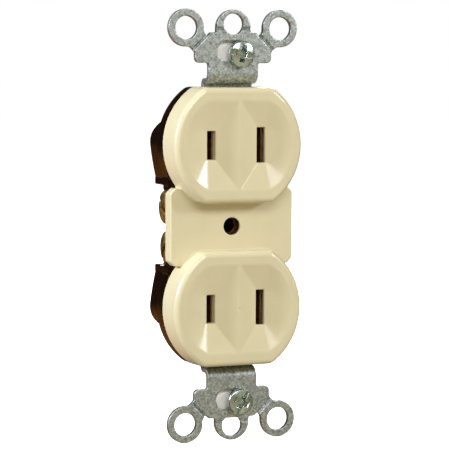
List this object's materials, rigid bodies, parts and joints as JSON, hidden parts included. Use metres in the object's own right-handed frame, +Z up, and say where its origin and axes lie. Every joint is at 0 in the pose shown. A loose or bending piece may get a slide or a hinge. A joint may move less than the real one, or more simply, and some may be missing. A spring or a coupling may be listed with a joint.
{
  "type": "duplex wall outlet",
  "caption": "Duplex two-slot wall receptacle: ivory face over a dark body, steel mounting strap with break-off ears, side wiring screws.",
  "frame": {"origin": "on the axis of the tapped hole for the wall plate's screw, at the strap's front face, which is the parting plane of cover and body", "axes": "+Z up along the strap with the two outlets one above the other, -Y out of the wall towards the room, +X to the right seen from the room (the long neutral slots' side)"},
  "size_m": [0.0332, 0.0229, 0.1032],
  "materials": {
    "cover_plastic": "moulded ivory, semi-gloss",
    "body_phenolic": "compression-moulded phenolic, dark brown",
    "strap_steel": "galvanised sheet, slightly mottled",
    "screw_zinc": "bright zinc plate",
    "terminal_brass": "brass, slightly tarnished",
    "terminal_nickel": "nickel plated brass",
    "contact_bronze": "phosphor bronze spring strip",
    "rivet_brass": "plain brass",
    "washer_plastic": "white nylon sheet"
  },
  "bodies": {
    "receptacle": {"face_cover": "cover_plastic", "back_body": "body_phenolic", "mounting_strap": "strap_steel", "hot_terminal_bar": "terminal_brass", "neutral_terminal_bar": "terminal_nickel", "upper_hot_contact": "contact_bronze", "upper_neutral_contact": "contact_bronze", "lower_hot_contact": "contact_bronze", "lower_neutral_contact": "contact_bronze", "upper_hot_rivet": "rivet_brass", "upper_neutral_rivet": "rivet_brass", "lower_hot_rivet": "rivet_brass", "lower_neutral_rivet": "rivet_brass", "top_assembly_screw": "screw_zinc", "bottom_assembly_screw": "screw_zinc"},
    "upper_hot_screw": {"upper_hot_screw": "terminal_brass"},
    "upper_neutral_screw": {"upper_neutral_screw": "terminal_nickel"},
    "lower_hot_screw": {"lower_hot_screw": "terminal_brass"},
    "lower_neutral_screw": {"lower_neutral_screw": "terminal_nickel"},
    "top_box_screw": {"top_box_screw": "screw_zinc"},
    "top_retaining_washer": {"top_retaining_washer": "washer_plastic"},
    "bottom_box_screw": {"bottom_box_screw": "screw_zinc"},
    "bottom_retaining_washer": {"bottom_retaining_washer": "washer_plastic"}
  },
  "joints": [
    {"name": "upper_hot_screw_travel", "type": "slide", "parent": "receptacle", "child": "upper_hot_screw", "axis": [1, 0, 0], "range_m": [-0.001, 0.0034]},
    {"name": "lower_hot_screw_travel", "type": "slide", "parent": "receptacle", "child": "lower_hot_screw", "axis": [1, 0, 0], "range_m": [-0.001, 0.003]},
    {"name": "upper_neutral_screw_travel", "type": "slide", "parent": "receptacle", "child": "upper_neutral_screw", "axis": [-1, 0, 0], "range_m": [-0.001, 0.0034]},
    {"name": "lower_neutral_screw_travel", "type": "slide", "parent": "receptacle", "child": "lower_neutral_screw", "axis": [-1, 0, 0], "range_m": [-0.001, 0.003]},
    {"name": "top_washer_shift", "type": "slide", "parent": "receptacle", "child": "top_retaining_washer", "axis": [1, 0, 0], "range_m": [-0.0037, 0.0002]},
    {"name": "top_box_screw_travel", "type": "slide", "parent": "top_retaining_washer", "child": "top_box_screw", "axis": [0, -1, 0], "range_m": [0, 0.0115]},
    {"name": "bottom_washer_shift", "type": "slide", "parent": "receptacle", "child": "bottom_retaining_washer", "axis": [1, 0, 0], "range_m": [-0.0037, 0.0002]},
    {"name": "bottom_box_screw_travel", "type": "slide", "parent": "bottom_retaining_washer", "child": "bottom_box_screw", "axis": [0, -1, 0], "range_m": [0, 0.0115]}
  ]
}
